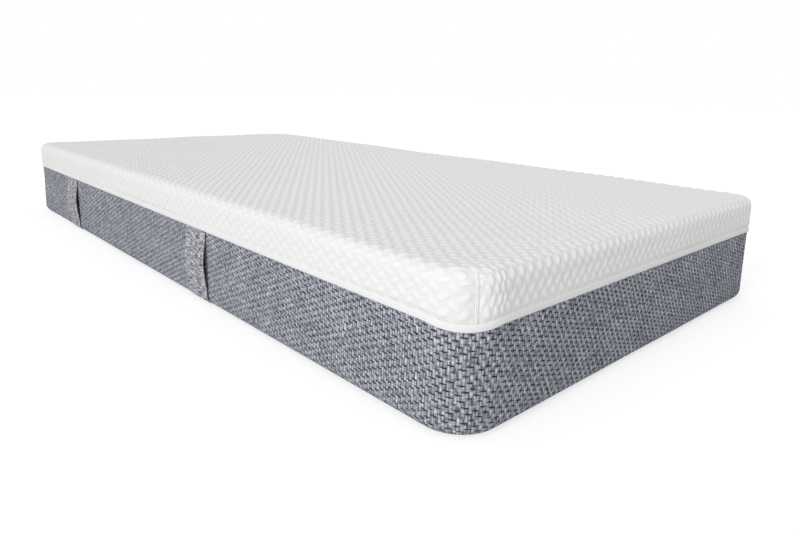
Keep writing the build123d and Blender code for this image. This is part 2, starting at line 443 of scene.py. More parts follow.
def strap_webbing(name):
    """Silvery heathered webbing: short cross flecks of pale and faintly pink yarn over the border's grey."""
    r = Recipe(name, roughness=0.88)
    across, along = r.cloth()
    fleck = r.grain(48, 300, 3.0, 0.75)
    streak = r.grain(420, 90, 3.0, 0.7)
    warm = r.grain(30, 90)
    grid = r.times(r.ripple(across, WEBBING_RIB), r.ripple(along, WEBBING_PICK))
    mixed = r.add(r.times(fleck, 0.66), r.times(streak, 0.34))
    mixed = r.add(mixed, r.times(grid, 0.03))
    r.colour(r.mix(r.ease(warm, 0.52, 0.75, 0, 0.35), r.shades(mixed, WEBBING), tone(196, 176, 177)))
    r.bump(r.add(r.times(grid, 0.4), r.times(mixed, 1.6)), 0.001)
    return r.material


def base_cloth(name):
    """Dark plain weave under the mattress."""
    r = Recipe(name, roughness=0.9, sheen=0.05)
    across, along = r.cloth()
    plain = r.times(r.ripple(across, BASE_YARN), r.ripple(along, BASE_YARN))
    shade = r.add(r.times(plain, 0.25), r.grain(300, 300, 3.0))
    r.colour(r.mix(shade, tone(58, 60, 66), tone(120, 123, 130)))
    r.bump(plain, 0.0003)
    return r.material


def liner_knit(name):
    """Fine plain tubular knit in warm white."""
    r = Recipe(name, roughness=0.9, sheen=0.08)
    across, along = r.cloth()
    slope = r.size(r.ripple(across, LINER_WALE))
    courses = r.math("SINE", r.add(r.times(along, 2 * math.pi / LINER_COURSE), r.times(slope, 1.6)))
    loops = r.times(r.add(slope, courses), 0.3)
    shade = r.add(r.times(loops, 0.4), r.grain(35, 35, 3.0))
    r.colour(r.mix(shade, tone(222, 219, 208), tone(242, 240, 232)))
    r.bump(loops, 0.0005)
    return r.material


white_tape = ribbed_tape("white_tape", tone(251, 251, 252), tone(238, 238, 239), 0.0016)
zip_tape = ribbed_tape("zip_tape", tone(240, 240, 241), tone(220, 220, 222), 0.0014)
thread = ribbed_tape("sewing_thread", tone(228, 227, 228), tone(196, 195, 198), 0.0006)
webbing = strap_webbing("strap_webbing")
liner = liner_knit("liner_knit")
underside = base_cloth("base_cloth")
print("cloths:", [made.name for made in (white_tape, zip_tape, thread, webbing, liner, underside)])

# %% [markdown]
# Foam, nylon, rubber and metal have no weave. Their grain runs through the solid piece, so it is drawn from
# the piece's own place in space instead of from cloth metres. Cloth metres would stretch at the edges of a
# block.

# %% Solid finishes
FOAM_CELLS = 700
FOAM_CLOUDS = 14
WEAR_GRAINS = 400


def open_foam(name, pale, dark):
    """Foam with small open cells."""
    r = Recipe(name, roughness=0.95)
    where = r.make("TexCoord", {}).outputs["Object"]
    cells = r.make("TexVoronoi", {"Vector": where, "Scale": FOAM_CELLS})
    pores = r.ease(cells.outputs["Distance"], 0.1, 0.6)
    r.colour(r.mix(r.times(pores, r.noise(where, scale=FOAM_CLOUDS)), pale, dark))
    r.bump(r.less(1.0, pores), 0.0005)
    return r.material


def hard_finish(name, pale, dark, metallic, roughness):
    """Nylon, grip rubber, glue or lacquered metal with faint wear."""
    r = Recipe(name, roughness=roughness, shine=0.5)
    r.shader.inputs["Metallic"].default_value = metallic
    wear = r.noise(r.make("TexCoord", {}).outputs["Object"], detail=4, scale=WEAR_GRAINS)
    r.colour(r.mix(wear, dark, pale))
    r.bump(wear, 0.00005)
    return r.material


grip_rubber = hard_finish("grip_rubber", tone(66, 68, 72), tone(48, 50, 54), metallic=0.0, roughness=0.6)
zip_nylon = hard_finish("zip_nylon", tone(240, 240, 242), tone(222, 222, 226), metallic=0.0, roughness=0.4)
zip_metal = hard_finish("zip_metal", tone(214, 214, 216), tone(180, 181, 184), metallic=0.6, roughness=0.35)
print("finishes:", sorted(m.name for m in bpy.data.materials))

# %% [markdown]
# Most pieces are bands that run right round the mattress: a short profile carried along the plan outline.
# One walk round the outline gives even steps of cloth and the outward direction at each, and a profile is
# a list of depths behind the border's face and heights. A sweep modifier could do this, but plain rows and
# columns of points keep the cloth metres exact, so the weave meets itself where the border closes.

# %% Outline of the mattress
CORNER_RADIUS = 0.075
HALF_WIDTH, HALF_LENGTH = border_high.x, border_high.y
HEAD_HALF = HALF_WIDTH - CORNER_RADIUS
HAIR = 1e-9


def round_length(radius=CORNER_RADIUS):
    """Length of the outline round the mattress, for one corner radius."""
    return 4 * (HALF_WIDTH + HALF_LENGTH - 2 * radius) + 2 * math.pi * radius


def outline_walk(count, radius=CORNER_RADIUS):
    """Even steps round the border's face, from the middle of the head end, anticlockwise from above."""
    head, side, quarter = HALF_WIDTH - radius, HALF_LENGTH - radius, math.pi * radius / 2
    walk = np.linspace(0, round_length(radius), count, endpoint=False)
    place = np.zeros((count, 2))
    outward = np.zeros((count, 2))
    start = 0.0
    point, heading = np.array([0.0, HALF_LENGTH]), math.pi
    for straight in (head, 2 * side, 2 * head, 2 * side, head):
        forward = np.array([math.cos(heading), math.sin(heading)])
        right = np.array([forward[1], -forward[0]])
        on = (walk >= start - HAIR) & (walk < start + straight)
        place[on] = point + np.outer(walk[on] - start, forward)
        outward[on] = right
        point, start = point + straight * forward, start + straight
        on = (walk >= start) & (walk < start + quarter)
        centre = point - radius * right
        turn = math.atan2(right[1], right[0]) + (walk[on] - start) / radius
        outward[on] = np.stack([np.cos(turn), np.sin(turn)], 1)
        place[on] = centre + radius * outward[on]
        heading += math.pi / 2
        point, start = centre + radius * forward, start + quarter
    return walk, place, outward


ROUND_LENGTH = round_length()
print("round the mattress in metres:", round(ROUND_LENGTH, 3))

# %% [markdown]
# A mesh is a list of points and a list of faces that name their corners by number. Blender could build one
# from its own primitives, but cloth is easiest as a grid: the helpers here number a grid's faces, store the
# cloth metres of each corner, and turn a profile into a band round the mattress.

# %% Grids and bands


def plain_object(name, points, faces, finish):
    """A flat-shaded mesh of one finish."""
    mesh = bpy.data.meshes.new(name)
    mesh.from_pydata(points, [], faces)
    mesh.materials.append(finish)
    made = bpy.data.objects.new(name, mesh)
    scene.collection.objects.link(made)
    return made


def cloth_object(name, points, faces, cloth, finish):
    """A smooth mesh with its cloth metres stored as a UV layer."""
    made = plain_object(name, points.reshape(-1, 3).tolist(), faces.tolist(), finish)
    layer = made.data.uv_layers.new(name="cloth")
    layer.data.foreach_set("uv", cloth.astype(np.float32).ravel())
    made.data.shade_smooth()
    return made


def quad_grid(rows, columns, wrap=False):
    """Corner numbers of a grid of four-sided faces, and the same with the last column not wrapped."""
    row = np.arange(rows - 1)[:, None]
    column = np.arange(columns if wrap else columns - 1)[None, :]
    follow = (column + 1) % columns
    faces = np.stack([row * columns + column, row * columns + follow,
                      (row + 1) * columns + follow, (row + 1) * columns + column], -1)
    wide = columns + 1 if wrap else columns
    flat = np.stack([row * wide + column, row * wide + column + 1,
                     (row + 1) * wide + column + 1, (row + 1) * wide + column], -1)
    return faces.reshape(-1, 4), flat.reshape(-1, 4)


def run_along(line):
    """How far each point of a line lies along it."""
    return np.concatenate([[0], np.cumsum(np.linalg.norm(np.diff(line, axis=0), axis=1))])


def cloth_grid(across, along):
    """Cloth metres of each point of a grid, row by row."""
    return np.stack(np.broadcast_arrays(across[None, :], along[:, None]), -1).reshape(-1, 2)


def round_band(name, profile, count, finish, closed=False, shape=None, keep=None,
               radius=CORNER_RADIUS):
    """A band round the mattress. The profile lists (depth, height) with the outer face going up."""
    profile = np.array(list(profile) + ([profile[0]] if closed else []), float)
    walk, place, outward = outline_walk(count, radius)
    climb = run_along(profile)
    depth = np.repeat(profile[:, :1], count, 1)
    height = np.repeat(profile[:, 1:], count, 1)
    if shape is not None:
        depth, height = shape(depth, height, walk[None, :], climb[:, None])
    points = np.empty(depth.shape + (3,))
    points[..., :2] = place[None] - outward[None] * depth[..., None]
    points[..., 2] = height
    faces, flat = quad_grid(len(profile), count, wrap=True)
    cloth = cloth_grid(np.append(walk, round_length(radius)), climb)
    if closed:
        points = points[:-1]
        faces = faces % (points.shape[0] * count)
    if keep is not None:
        kept = keep(points.reshape(-1, 3)[faces].mean(1))
        faces, flat = faces[kept], flat[kept]
    return cloth_object(name, points, faces, cloth[flat], finish)


def arc_profile(centre_depth, centre_height, radius, start, end, steps):
    """Points of an arc in (depth, height); angle 0 points out of the mattress and 90 points up."""
    angles = np.radians(np.linspace(start, end, steps))
    return [(centre_depth - radius * math.cos(a), centre_height + radius * math.sin(a)) for a in angles]


print("faces in a grid of 3 by 4 points:", len(quad_grid(3, 4)[0]))

# %% [markdown]
# The grey border stands round the lower half and rolls under the bottom edge to the base panel. A flat band
# with a bump would look printed where it turns the corner. Here its points fall on the crests and dips of
# the weave, two to a yarn and two to a row, so the yarns are real ridges and every dash is a real dip. Slow
# waves of under two millimetres keep the long sides from looking like board; they die out at the top, where
# the zip tape is sewn flat behind the cloth.

# %% Woven border
BOTTOM_RADIUS = 0.022
RIDGE_HEIGHT = 0.0007
DASH_DIP = 0.0009
BORDER_SINK = 0.0006
SLACK = (0.0009, 0.0006, 0.0004)
SLACK_FROM = 0.02
SLACK_UNTIL = 0.03
ZIP_TUCK = 0.014
weave_repeats = round(ROUND_LENGTH / WEAVE_REPEAT_AIM)
weave_repeat = ROUND_LENGTH / weave_repeats
border_steps = weave_repeats * WEAVE_YARNS * 2
border_climb = (border_high.z - BOTTOM_RADIUS) + BOTTOM_RADIUS * math.pi / 2
border_rows = int(border_climb / (WEAVE_ROW / 2)) + 1


def border_profile():
    """The border from its inner bottom edge, under and up to the zip, in even steps of half a weave row."""
    rows = []
    for n in range(border_rows):
        climbed = n * WEAVE_ROW / 2
        angle = climbed / BOTTOM_RADIUS
        if angle < math.pi / 2:
            rows.append((BOTTOM_RADIUS * (1 - math.sin(angle)), BOTTOM_RADIUS * (1 - math.cos(angle))))
        else:
            rows.append((0.0, BOTTOM_RADIUS + climbed - BOTTOM_RADIUS * math.pi / 2))
    rows[-1] = (0.0, border_high.z)
    return rows


def slow_wave(walk, climb):
    """Slack in a long stitched cloth: a few slow waves, in metres."""
    return (SLACK[0] * np.sin(walk * 7.1 + 1.3) * np.sin(climb * 21 + 0.6)
            + SLACK[1] * np.sin(walk * 17.3 + climb * 12 + 2.1)
            + SLACK[2] * np.sin(walk * 31.0 - climb * 25))


def woven_relief(depth, height, walk, climb):
    """Ridges of the yarns, dips at the dashes and slow waves, all as less or more depth."""
    yarn = np.cos(2 * np.pi * (walk / (weave_repeat / WEAVE_YARNS)))
    row = climb / WEAVE_ROW
    phase = (walk / weave_repeat - np.floor(row + 1e-6) * WEAVE_STEP / WEAVE_YARNS) % 1
    dash = (np.abs(phase - DASH_SHARE / 2) < DASH_SHARE / 2) & (np.abs(row % 1 - 0.5) < 0.25)
    free = np.clip(climb / SLACK_FROM, 0, 1) * np.clip((border_climb - climb - ZIP_TUCK) / SLACK_UNTIL, 0, 1)
    wave = slow_wave(walk, climb) * free
    relief = RIDGE_HEIGHT / 2 * (1 - yarn) - RIDGE_HEIGHT / 2 + DASH_DIP * dash
    lift = np.clip(height / BOTTOM_RADIUS, 0, 1)
    return depth + BORDER_SINK + (relief + wave) * lift, height


grey_cloth = border_weave("border_weave", weave_repeat)
border = round_band("woven_border", border_profile(), border_steps, grey_cloth,
                    shape=woven_relief)
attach(border, "base")
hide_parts("base_border")
print("border faces:", len(border.data.polygons), "repeat in mm:", round(weave_repeat * 1000, 2))

# %% [markdown]
# The cover is one knitted sheet, cut with a notch at each corner and sewn, so that it folds down over every
# edge. A cloth simulation could drape it, but the knit is pulled tight over firm foam, so bending it by rule
# gives the same form and the same result each time. The sheet starts as a flat cross of points in cloth
# metres. Points past the edge bend over a small arc and then hang down, and the square corners are drawn in
# to the round plan, which brings the two cut edges of each notch together in an upright seam. The same
# function makes the cover, its lining and the sock.

# %% Caps that fold over the foam
COVER_EDGE = 0.020
SEAM_STARTS = 0.6
SEAM_GROWS = 0.15


def bend_over(value, half, edge):
    """Plan distance and hang of cloth metres that run out from the middle and over an edge."""
    flat = half - edge
    far = np.abs(value)
    angle = np.clip((far - flat) / edge, 0, math.pi / 2)
    plan = np.where(far <= flat, far, flat + edge * np.sin(angle))
    hang = np.maximum(far - (flat + edge * math.pi / 2), 0)
    return np.sign(value) * plan, hang


def cloth_steps(half, edge, skirt, aim):
    """Even cloth metres from one hem to the other, with a step exactly at the foot of each edge arc."""
    reach = half - edge + edge * math.pi / 2
    top = np.linspace(-reach, reach, 2 * round(reach / aim) + 1)
    down = reach + np.linspace(0, skirt, max(round(skirt / aim), 1) + 1)[1:]
    return np.concatenate([-down[::-1], top, down]), reach


def folded_cap(name, half, plan_radius, top, low, edge, aim, finish, seam_turn=0.0):
    """A sheet folded down over the edges of a block.

    Gives the object, its cloth metres, how close each point is to a seam, the cut size and the area."""
    skirt = top - edge - low
    across, reach_x = cloth_steps(half[0], edge, skirt, aim[0])
    along, reach_y = cloth_steps(half[1], edge, skirt, aim[1])
    u, v = np.meshgrid(across, along)
    x, hang_x = bend_over(u, half[0], edge)
    y, hang_y = bend_over(v, half[1], edge)
    corner_x = (np.abs(x) - (half[0] - plan_radius)) / plan_radius
    corner_y = (np.abs(y) - (half[1] - plan_radius)) / plan_radius
    corner = (corner_x > 0) & (corner_y > 0)
    a, b = np.clip(corner_x, 0, 1), np.clip(corner_y, 0, 1)
    drawn_x = a * np.sqrt(1 - b * b / 2)
    drawn_y = b * np.sqrt(1 - a * a / 2)
    reach, turn = np.hypot(drawn_x, drawn_y), np.arctan2(drawn_y, drawn_x)
    turn = turn + seam_turn * np.sin(2 * turn)
    drawn_x, drawn_y = reach * np.cos(turn), reach * np.sin(turn)
    x = np.where(corner, np.sign(x) * (half[0] - plan_radius + plan_radius * drawn_x), x)
    y = np.where(corner, np.sign(y) * (half[1] - plan_radius + plan_radius * drawn_y), y)
    inset = np.where(corner, plan_radius * (1 - np.hypot(drawn_x, drawn_y)),
                     np.minimum(half[0] - np.abs(x), half[1] - np.abs(y)))
    inset = np.clip(inset, 0, edge)
    drop = edge - np.sqrt(np.maximum(edge ** 2 - (edge - inset) ** 2, 0))
    points = np.stack([x, y, top - drop - hang_x - hang_y], -1)
    faces, flat = quad_grid(*u.shape)
    cut = ((np.abs(u) > reach_x + HAIR) & (np.abs(v) > reach_y + HAIR)).ravel()
    kept = ~cut[faces].any(1)
    used = np.unique(faces[kept])
    number = np.full(u.size, -1)
    number[used] = np.arange(len(used))
    cloth = np.stack([u, v], -1).reshape(-1, 2)
    made = cloth_object(name, points.reshape(-1, 3)[used], number[faces[kept]], cloth[flat[kept]],
                        finish)
    outer, inner = np.maximum(a, b), np.minimum(a, b)
    seam = inner / np.maximum(outer, 1e-6) * np.clip((outer - SEAM_STARTS) / SEAM_GROWS, 0, 1)
    notches = 4 * skirt * skirt
    cut_size = (2 * (reach_x + skirt), 2 * (reach_y + skirt))
    return made, cloth[used], seam.ravel()[used], cut_size, cut_size[0] * cut_size[1] - notches


print("cloth over the cover's edge in metres:", round(COVER_EDGE * math.pi / 2, 4))

# %% [markdown]
# On the cover each blister is a real bump. The sheet's steps are a sixth and an eighth of the knit's cell,
# so every blister is caught by the same points and none is lost between them. A displace modifier with a
# picture could lift them too, but it would not know where the seams are. Close to the corner seams and the
# hem the knit is sewn down flat. Down the long sides the knit is pulled across its stretch, so its blisters
# lie flatter there, and on the top they stand fullest. A slow swell keeps the foam from looking like glass.

# %% Knit cover
COVER_CORNER = 0.075
HEM_DIP = 0.006
HEM_TUCK = 0.001
HEM_FLAT = 0.006
BLISTER_HEIGHT = 0.0015
SIDE_SINK = 0.001
TOP_SINK = 0.0018
TOP_FULLER = 0.35
SIDE_FLATTER = 0.5
CELL_STEPS = (6, 8)
SWELL = (0.0010, 0.0007)
SEAM_FLAT = 0.80
SEAM_SINK = 0.0016
SEAM_TURN = math.radians(11)


def blister_rise(cloth):
    """Height of the blisters over the ground of the knit, from 0 to 1."""
    rise = np.zeros(len(cloth))
    for offset, lean in BLISTER_ROWS:
        cell = [((cloth[:, n] / size + 0.5 + offset) % 1 - 0.5) * size for n, size in enumerate(BLISTER_CELL)]
        wide = (cell[0] * math.cos(lean) + cell[1] * math.sin(lean)) / BLISTER_HALF[0]
        tall = (cell[1] * math.cos(lean) - cell[0] * math.sin(lean)) / BLISTER_HALF[1]
        rise = np.maximum(rise, np.sqrt(np.clip(1 - (wide ** 2 + tall ** 2) / BLISTER_FOOT, 0, 1)))
    return rise


def point_values(piece, kind):
    """The places ("co") or the normals ("normal") of a piece's points, one row each."""
    values = np.zeros(len(piece.data.vertices) * 3)
    piece.data.vertices.foreach_get(kind, values)
    return values.reshape(-1, 3)


def push_out(piece, amount):
    """Moves every point of a piece along its own normal."""
    moved = point_values(piece, "co") + point_values(piece, "normal") * amount[:, None]
    piece.data.vertices.foreach_set("co", moved.ravel())
    piece.data.update()


def dip_corners(piece, radius):
    """Lets the lower part of the cover hang a little lower at the corners, where the cloth is fullest."""
    shoulder = cover_high.z - COVER_EDGE
    for point in piece.data.vertices:
        out_x = abs(point.co.x) - (cover_high.x - radius)
        out_y = abs(point.co.y) - (cover_high.y - radius)
        if out_x > 0 and out_y > 0:
            down = (shoulder - point.co.z) / (shoulder - cover_low.z)
            point.co.z -= HEM_DIP * math.sin(2 * math.atan2(out_y, out_x)) * min(max(down, 0), 1)


knit = knit_white("blister_knit")
cover_half = (cover_high.x - SIDE_SINK, cover_high.y - SIDE_SINK)
cover_aim = (BLISTER_CELL[0] / CELL_STEPS[0], BLISTER_CELL[1] / CELL_STEPS[1])
cover, cover_cloth, seam_near, cover_cut, cover_area = folded_cap(
    "knit_cover_face", cover_half, COVER_CORNER, cover_high.z - TOP_SINK,
    cover_low.z - HEM_TUCK, COVER_EDGE, cover_aim, knit, SEAM_TURN)
cloth_x, cloth_y = cover_cloth.T
swell = (SWELL[0] * np.sin(cloth_x * 9.0 + 0.4) * np.sin(cloth_y * 6.3 + 1.0)
         + SWELL[1] * np.sin(cloth_x * 21 + cloth_y * 13))
facing = point_values(cover, "normal") ** 2
fullness = 1 + TOP_FULLER * facing[:, 2] - SIDE_FLATTER * facing[:, 0]
above_hem = point_values(cover, "co")[:, 2] - cover_low.z
sewn = np.clip((1 - seam_near) / (1 - SEAM_FLAT), 0, 1) ** 0.7 * np.clip(above_hem / HEM_FLAT, 0, 1)
blisters = blister_rise(cover_cloth) * BLISTER_HEIGHT * fullness
push_out(cover, (blisters + swell) * sewn - SEAM_SINK * (1 - sewn))
dip_corners(cover, COVER_CORNER)
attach(cover, "cover")
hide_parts("knit_cover")
print("cover faces:", len(cover.data.polygons), "cut in metres:", [round(x, 3) for x in cover_cut])

# %% [markdown]
# Inside the cover a thin lining keeps the filling yarns from catching on the foam. It shows only when the
# cover is lifted. The back of the knit could stand for it, but then the inside would show the same blisters
# as the outside, so the lining is a second, smooth cap just inside the first, turned inside out.

# %% Cover lining
LINING_INSET = 0.002
LINING_DROP = 0.0038
LINING_HEM = 0.001
LINER_STEP = (0.012, 0.012)

lining_half = (HALF_WIDTH - LINING_INSET, HALF_LENGTH - LINING_INSET)
lining, _, _, lining_cut, lining_area = folded_cap(
    "knit_cover_lining", lining_half, CORNER_RADIUS - LINING_INSET, cover_high.z - LINING_DROP,
    cover_low.z + LINING_HEM, COVER_EDGE, LINER_STEP, liner)
lining.data.flip_normals()
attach(lining, "cover")
print("lining cut in metres:", [round(x, 3) for x in lining_cut])

# %% [markdown]
# Under the skirts a smooth white band hides the zip. It is a folded tape, a little plump, that runs round
# three sides and both head corners, and stops where the slider needs room along the head end. A flat strip
# would catch no light along its edges, so the tape's section has rounded ends and a full middle.

# %% Zip flap
FLAP_STEPS = 900
FLAP_THICK = 0.0024
FLAP_ROUND = 0.0012
FLAP_PLUMP = 0.0004
FLAP_FULLEST = 0.0055
FLAP_TOP_GAP = 0.0002


def off_the_head(middle):
    """True for faces that aren't on the straight of the head end."""
    return ~((np.abs(middle[:, 0]) < HEAD_HALF) & (middle[:, 1] > 0))


flap_face = HALF_WIDTH - flap_high.x
flap_back = flap_face + FLAP_THICK
flap_edge = flap_face + FLAP_PLUMP + FLAP_ROUND
flap_top = flap_high.z - FLAP_TOP_GAP
flap_profile = (arc_profile(flap_edge, flap_low.z + FLAP_ROUND, FLAP_ROUND, -90, 0, 4)
                + [(flap_face, flap_low.z + FLAP_FULLEST)]
                + arc_profile(flap_edge, flap_top - FLAP_ROUND, FLAP_ROUND, 0, 90, 4)
                + [(flap_back, flap_top), (flap_back, flap_low.z)])
flap = round_band("zip_flap_tape", flap_profile, FLAP_STEPS, white_tape, closed=True,
                  keep=off_the_head, radius=COVER_CORNER - (cover_high.x - HALF_WIDTH))
dip_corners(flap, COVER_CORNER)
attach(flap, "cover")
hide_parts("zip_flap")
print("flap faces:", len(flap.data.polygons))

# %% [markdown]
# The foam core fills the cover: three slabs with films of glue between them, and a fine knitted sock pulled
# over them. They show only when the cover is lifted off. The CAD slabs could be shown as they are, but cut
# foam has soft edges, so each slab is a closed block with rounded edges. The sock is one more folded cap.

# %% Foam and sock
SLAB_STEPS = 320
CUT_EDGE = 0.002
FOAMS = (("support_foam", "support_core", 0.018, CUT_EDGE, (236, 232, 214), (214, 208, 184)),
         ("transition_foam", "transition_foam", CUT_EDGE, CUT_EDGE, (206, 219, 231), (178, 194, 210)),
         ("memory_foam", "memory_foam", CUT_EDGE, 0.0164, (246, 242, 228), (226, 220, 200)))
SOCK_EDGE = 0.0172


def foam_slab(name, node, round_low, round_high, finish):
    """A slab of foam with eased edges, closed above and below by many-sided faces."""
    low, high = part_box(node)
    depth = HALF_WIDTH - high.x
    profile = (arc_profile(depth + round_low, low.z + round_low, round_low, -90, 0, 6)
               + arc_profile(depth + round_high, high.z - round_high, round_high, 0, 90, 6))
    slab = round_band(name, profile, SLAB_STEPS, finish)
    points = [v.co[:] for v in slab.data.vertices]
    faces = [tuple(p.vertices) for p in slab.data.polygons]
    faces.append(tuple(reversed(range(SLAB_STEPS))))
    faces.append(tuple(range(len(points) - SLAB_STEPS, len(points))))
    slab.data.clear_geometry()
    slab.data.from_pydata(points, [], faces)
    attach(slab, "base")
    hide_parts(node)


def coat(node, finish):
    """Gives a CAD piece that is shown as it is one finish."""
    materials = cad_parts[node].data.materials
    materials.clear()
    materials.append(finish)


for foam, node, round_low, round_high, pale, dark in FOAMS:
    foam_slab(f"{foam}_slab", node, round_low, round_high, open_foam(foam, tone(*pale), tone(*dark)))

sock_low, sock_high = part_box("inner_sock")
sock_corner = CORNER_RADIUS - (HALF_WIDTH - sock_high.x)
sock, _, _, sock_cut, sock_area = folded_cap(
    "inner_sock_knit", (sock_high.x, sock_high.y), sock_corner, sock_high.z, sock_low.z, SOCK_EDGE,
    LINER_STEP, liner)
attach(sock, "base")
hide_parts("inner_sock")
glue = hard_finish("dried_glue", tone(238, 232, 206), tone(222, 214, 184), metallic=0.0, roughness=0.5)
for film in ("lower_glue_film", "upper_glue_film"):
    coat(film, glue)
print("sock cut in metres:", [round(x, 3) for x in sock_cut])

# %% [markdown]
# The zip runs all round at the top of the border: a tape and a nylon coil on each half. A real coil is a
# spiral of monofilament; seen from arm's length it reads as a row of fine ribs, so each coil is a band whose
# section grows and shrinks every two millimetres. The slider, its pull tab and the stops stay as the CAD
# has them.

# %% Zip
TAPE_STEPS = 700
TAPE_THICK = 0.001
RIB_PITCH = 0.002
RIB_VALLEY = 0.72
COIL_HALF = 0.0015
COIL_ANGLES = (-150, -90, -30, 30, 90, 150)


def zip_tape_band(node, name, body):
    """One zip tape as a thin closed band."""
    low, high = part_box(node)
    outer = HALF_WIDTH - high.x
    inner = outer + TAPE_THICK
    profile = [(outer, low.z), (outer, high.z), (inner, high.z), (inner, low.z)]
    tape = round_band(name, profile, TAPE_STEPS, zip_tape, closed=True)
    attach(tape, body)
    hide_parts(node)


def zip_coil_band(node, name, body):
    """One half of the zip's coil, ribbed along its length."""
    low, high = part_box(node)
    middle = (HALF_WIDTH - high.x + COIL_HALF, (low.z + high.z) / 2)
    half_height = (high.z - low.z) / 2
    turn = [math.radians(a) for a in COIL_ANGLES]
    profile = [(middle[0] - COIL_HALF * math.cos(a), middle[1] + half_height * math.sin(a)) for a in turn]
    ribs = 2 * round(ROUND_LENGTH / RIB_PITCH)

    def ribbed(depth, height, walk, climb):
        thick = np.where(np.round(walk / (ROUND_LENGTH / ribs)) % 2 == 0, 1.0, RIB_VALLEY)
        return middle[0] + (depth - middle[0]) * thick, middle[1] + (height - middle[1]) * thick

    coil = round_band(name, profile, ribs, zip_nylon, closed=True, shape=ribbed)
    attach(coil, body)
    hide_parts(node)


for half, body in (("lower", "base"), ("upper", "cover")):
    zip_tape_band(f"{half}_zip_tape", f"{half}_tape_band", body)
    zip_coil_band(f"{half}_zip_coil", f"{half}_coil_band", body)
for node in ("zip_slider", "zip_pull_tab", "zip_stops"):
    coat(node, zip_metal)

# %% [markdown]
# Thread, seam lips and grip dots are all small round things. Cylinders or curves could make them one by one,
# but hundreds of objects are slow, so many are gathered in one mesh. Six points to a ring are enough, since
# none is more than a few millimetres wide.

# %% Rods of six sides
SIX_TURNS = [n * math.pi / 3 for n in range(6)]


def rod_faces(first, rings):
    """Faces between rings of six points that follow one another, counted from the first point."""
    faces = []
    for base in range(first, first + 6 * (rings - 1), 6):
        for n in range(6):
            follow = (n + 1) % 6
            faces.append((base + n, base + follow, base + 6 + follow, base + 6 + n))
    return faces


def rod_object(name, rods, finish):
    """Thin rods in one mesh. Each rod is a list of its points, six to a ring."""
    points, faces = [], []
    for rod in rods:
        faces += rod_faces(len(points), len(rod) // 6)
        points += [tuple(point) for point in rod]
    points, faces = np.array(points), np.array(faces)
    return cloth_object(name, points, faces, points[faces][..., 1:], finish)


print("faces of one short rod:", len(rod_faces(0, 2)))

# %% [markdown]
# The base panel closes the bottom. Nobody sees it while the mattress lies on a bed, but it carries small
# rubber dots that keep the mattress from sliding. The dots could be painted on, but they are what the
# mattress stands on, so they are low domes, and the cloth sits a hair above the dots' feet.

# %% Base panel
DOT_PITCH = 0.025
DOT_RADIUS = 0.003
DOT_HEIGHT = 0.0008
DOT_FOOT = 0.6
DOT_CLEAR = 0.0001
DOT_ROWS = 38
DOT_COLUMNS = 18


def base_sheet():
    """Flat panel inside the rolled edge of the border."""
    _, place, outward = outline_walk(SLAB_STEPS)
    edge = place - outward * BOTTOM_RADIUS
    points = np.column_stack([edge, np.full(SLAB_STEPS, DOT_HEIGHT)])
    faces = np.arange(SLAB_STEPS)[::-1][None, :]
    return cloth_object("base_panel_cloth", points, faces, edge[faces.ravel()], underside)


def grip_dots():
    """Low six-sided domes under the panel, in staggered rows."""
    points, faces = [], []
    for row in range(-DOT_ROWS, DOT_ROWS + 1):
        for column in range(-DOT_COLUMNS, DOT_COLUMNS + 1):
            x = (column + 0.5 * (row % 2)) * DOT_PITCH
            y = row * DOT_PITCH
            first = len(points)
            for radius, z in ((DOT_RADIUS, DOT_HEIGHT), (DOT_FOOT * DOT_RADIUS, DOT_CLEAR)):
                points += [(x + radius * math.cos(a), y + radius * math.sin(a), z) for a in SIX_TURNS]
            faces += [side[::-1] for side in rod_faces(first, 2)]
            faces.append(tuple(first + 6 + n for n in reversed(range(6))))
    return plain_object("base_grip_dots", points, faces, grip_rubber)


base_cloth_piece = base_sheet()
dots = grip_dots()
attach(base_cloth_piece, "base")
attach(dots, "base")
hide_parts("base_panel")
print("grip dots:", len(dots.data.polygons) // 7)

# %% [markdown]
# Four flat straps run down the long sides, sewn in under the flap and again under the bottom edge. Between
# their ends they stand off the border, so that fingers fit behind, and the gap shows as a dark line. A rigid
# strap would slide off its seams when it is pulled. A real one bows out while its ends stay sewn, so each is
# made as two halves, a lower and an upper, that meet near the middle.

# %% Strap halves
STRAP_THICK = 0.0025
STRAP_THINNEST = 0.35
STRAP_ROUND = 0.0012
STRAP_SIDE = (0.3, 0.7)
STRAP_OFF = 0.0006
STRAP_LIFT = 0.0002
STRAP_TUCK = 0.9
STRAP_BOW = 1.3
STRAP_END = 0.012
STRAP_COLUMNS = 12
STRAP_ROWS = 26


def strap_line(low, high, gap, share):
    """Distance off the border's face and height along a strap, from its tucked bottom to its top."""
    straight = high - BOTTOM_RADIUS
    tuck = BOTTOM_RADIUS * STRAP_TUCK
    climbed = share * (tuck + straight) - tuck
    if climbed < 0:
        angle = -climbed / BOTTOM_RADIUS
        under = BOTTOM_RADIUS * (1 - math.cos(angle))
        return STRAP_OFF - under, BOTTOM_RADIUS * (1 - math.sin(angle)) + STRAP_LIFT
    z = BOTTOM_RADIUS + climbed
    along = (z - low - STRAP_END) / (high - low - 2 * STRAP_END)
    bow = math.sin(math.pi * min(max(along, 0), 1)) ** STRAP_BOW
    return STRAP_OFF + gap * bow, z


